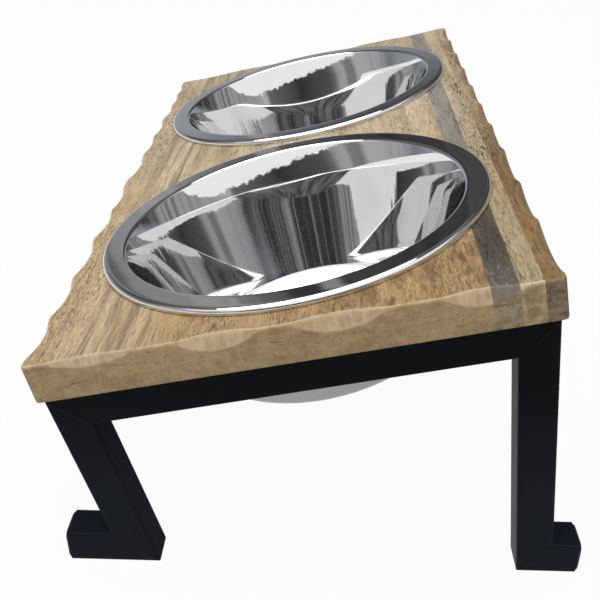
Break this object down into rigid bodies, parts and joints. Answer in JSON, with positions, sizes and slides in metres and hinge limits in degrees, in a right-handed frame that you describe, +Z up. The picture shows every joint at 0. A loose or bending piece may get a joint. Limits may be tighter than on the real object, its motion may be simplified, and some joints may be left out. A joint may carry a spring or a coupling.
{
  "type": "elevated pet bowl stand",
  "caption": "Sloping wooden pet feeder top with scalloped edges, lift-out polished steel bowls, and welded square-tube end frames with outward feet.",
  "frame": {"origin": "on the floor, at the centre of the stand's overall box", "axes": "+X along the top, +Y from the low front edge to the high back edge, +Z up"},
  "size_m": [0.51, 0.2928, 0.189],
  "materials": {
    "wood_main": "oiled, hand-carved edges",
    "wood_dark_strip": "oiled",
    "wood_light_strip": "oiled",
    "wood_edge_strip": "oiled, hand-carved edge",
    "bowl_steel": "mirror-polished stainless steel",
    "black_powder_coat": "satin black powder coat",
    "cap_plastic": "moulded black",
    "screw_steel": "zinc plated"
  },
  "bodies": {
    "stand": {"board_main": "wood_main", "board_dark_strip": "wood_dark_strip", "board_light_strip": "wood_light_strip", "board_edge_strip": "wood_edge_strip", "rail_left": "black_powder_coat", "leg_front_left": "black_powder_coat", "leg_back_left": "black_powder_coat", "foot_front_left": "black_powder_coat", "foot_back_left": "black_powder_coat", "rail_right": "black_powder_coat", "leg_front_right": "black_powder_coat", "leg_back_right": "black_powder_coat", "foot_front_right": "black_powder_coat", "foot_back_right": "black_powder_coat", "foot_cap_front_left": "cap_plastic", "foot_cap_back_left": "cap_plastic", "foot_cap_front_right": "cap_plastic", "foot_cap_back_right": "cap_plastic", "rail_screws": "screw_steel"},
    "bowl_left": {"bowl_left": "bowl_steel"},
    "bowl_right": {"bowl_right": "bowl_steel"}
  },
  "joints": [
    {"name": "bowl_left_lift", "type": "slide", "parent": "stand", "child": "bowl_left", "axis": [0, -0.2079, 0.9781], "range_m": [0, 0.11]},
    {"name": "bowl_right_lift", "type": "slide", "parent": "stand", "child": "bowl_right", "axis": [0, -0.2079, 0.9781], "range_m": [0, 0.11]}
  ]
}
